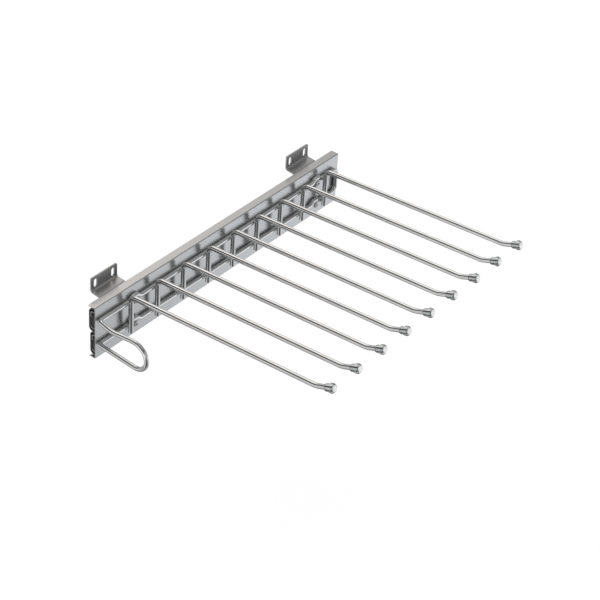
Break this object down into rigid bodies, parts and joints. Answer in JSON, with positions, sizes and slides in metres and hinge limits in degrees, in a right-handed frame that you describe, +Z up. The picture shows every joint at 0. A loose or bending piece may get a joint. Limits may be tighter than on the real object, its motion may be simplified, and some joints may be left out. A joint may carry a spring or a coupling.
{
  "type": "pull-out trouser rack",
  "caption": "Pull-out wardrobe rack: wire arms on a sheet cover over stacked ball-bearing slides, with a wire pull handle and two slotted brackets for one side wall.",
  "frame": {"origin": "on the wall plane, at the centre of the four screw slots of the two brackets", "axes": "+Z up, +X away from the wall towards the arms' tips, -Y the way the rack pulls out, so +Y runs back into the wardrobe"},
  "size_m": [0.3609, 0.5002, 0.1006],
  "materials": {
    "brushed_cover": "brushed stainless, satin",
    "bracket_steel": "satin plated sheet, grey",
    "chrome_wire": "bright chrome plating",
    "outer_rail_steel": "dark coated rail",
    "zinc_rail": "bright zinc plating",
    "cage_steel": "oiled strip",
    "ball_steel": "polished bearing balls",
    "rivet_zinc": "zinc plated",
    "screw_zinc": "bright zinc plated",
    "bumper_black": "black moulded plastic",
    "clear_cap": "clear moulded plastic"
  },
  "bodies": {
    "wall_side": {"front_wall_bracket": "bracket_steel", "rear_wall_bracket": "bracket_steel", "upper_outer_rail": "outer_rail_steel", "lower_outer_rail": "outer_rail_steel", "bracket_rivets": "rivet_zinc", "rail_bumpers": "bumper_black"},
    "middle_members": {"upper_middle_rail": "zinc_rail", "lower_middle_rail": "zinc_rail", "middle_rail_stops": "bumper_black"},
    "outer_cages": {"upper_outer_cage": "cage_steel", "lower_outer_cage": "cage_steel", "outer_cage_balls": "ball_steel"},
    "inner_cages": {"upper_inner_cage": "cage_steel", "lower_inner_cage": "cage_steel", "inner_cage_balls": "ball_steel"},
    "carriage": {"slide_cover": "brushed_cover", "upper_inner_rail": "zinc_rail", "lower_inner_rail": "zinc_rail", "inner_rail_stops": "bumper_black", "cover_screws": "screw_zinc", "frame_wire": "chrome_wire", "arm_1": "chrome_wire", "arm_2": "chrome_wire", "arm_3": "chrome_wire", "arm_4": "chrome_wire", "arm_5": "chrome_wire", "arm_6": "chrome_wire", "arm_7": "chrome_wire", "arm_8": "chrome_wire", "arm_9": "chrome_wire", "end_cap_1": "clear_cap", "end_cap_2": "clear_cap", "end_cap_3": "clear_cap", "end_cap_4": "clear_cap", "end_cap_5": "clear_cap", "end_cap_6": "clear_cap", "end_cap_7": "clear_cap", "end_cap_8": "clear_cap", "end_cap_9": "clear_cap"}
  },
  "joints": [
    {"name": "pull_out", "type": "slide", "parent": "wall_side", "child": "carriage", "axis": [0, -1, 0], "range_m": [0, 0.47]},
    {"name": "middle_slide", "type": "slide", "parent": "wall_side", "child": "middle_members", "axis": [0, -1, 0], "range_m": [0, 0.235]},
    {"name": "outer_cage_slide", "type": "slide", "parent": "wall_side", "child": "outer_cages", "axis": [0, -1, 0], "range_m": [0, 0.1175]},
    {"name": "inner_cage_slide", "type": "slide", "parent": "wall_side", "child": "inner_cages", "axis": [0, -1, 0], "range_m": [0, 0.3525]}
  ],
  "couplings": [
    {"joint": "middle_slide", "follows": "pull_out", "ratio": 0.5},
    {"joint": "outer_cage_slide", "follows": "pull_out", "ratio": 0.25},
    {"joint": "inner_cage_slide", "follows": "pull_out", "ratio": 0.75}
  ]
}
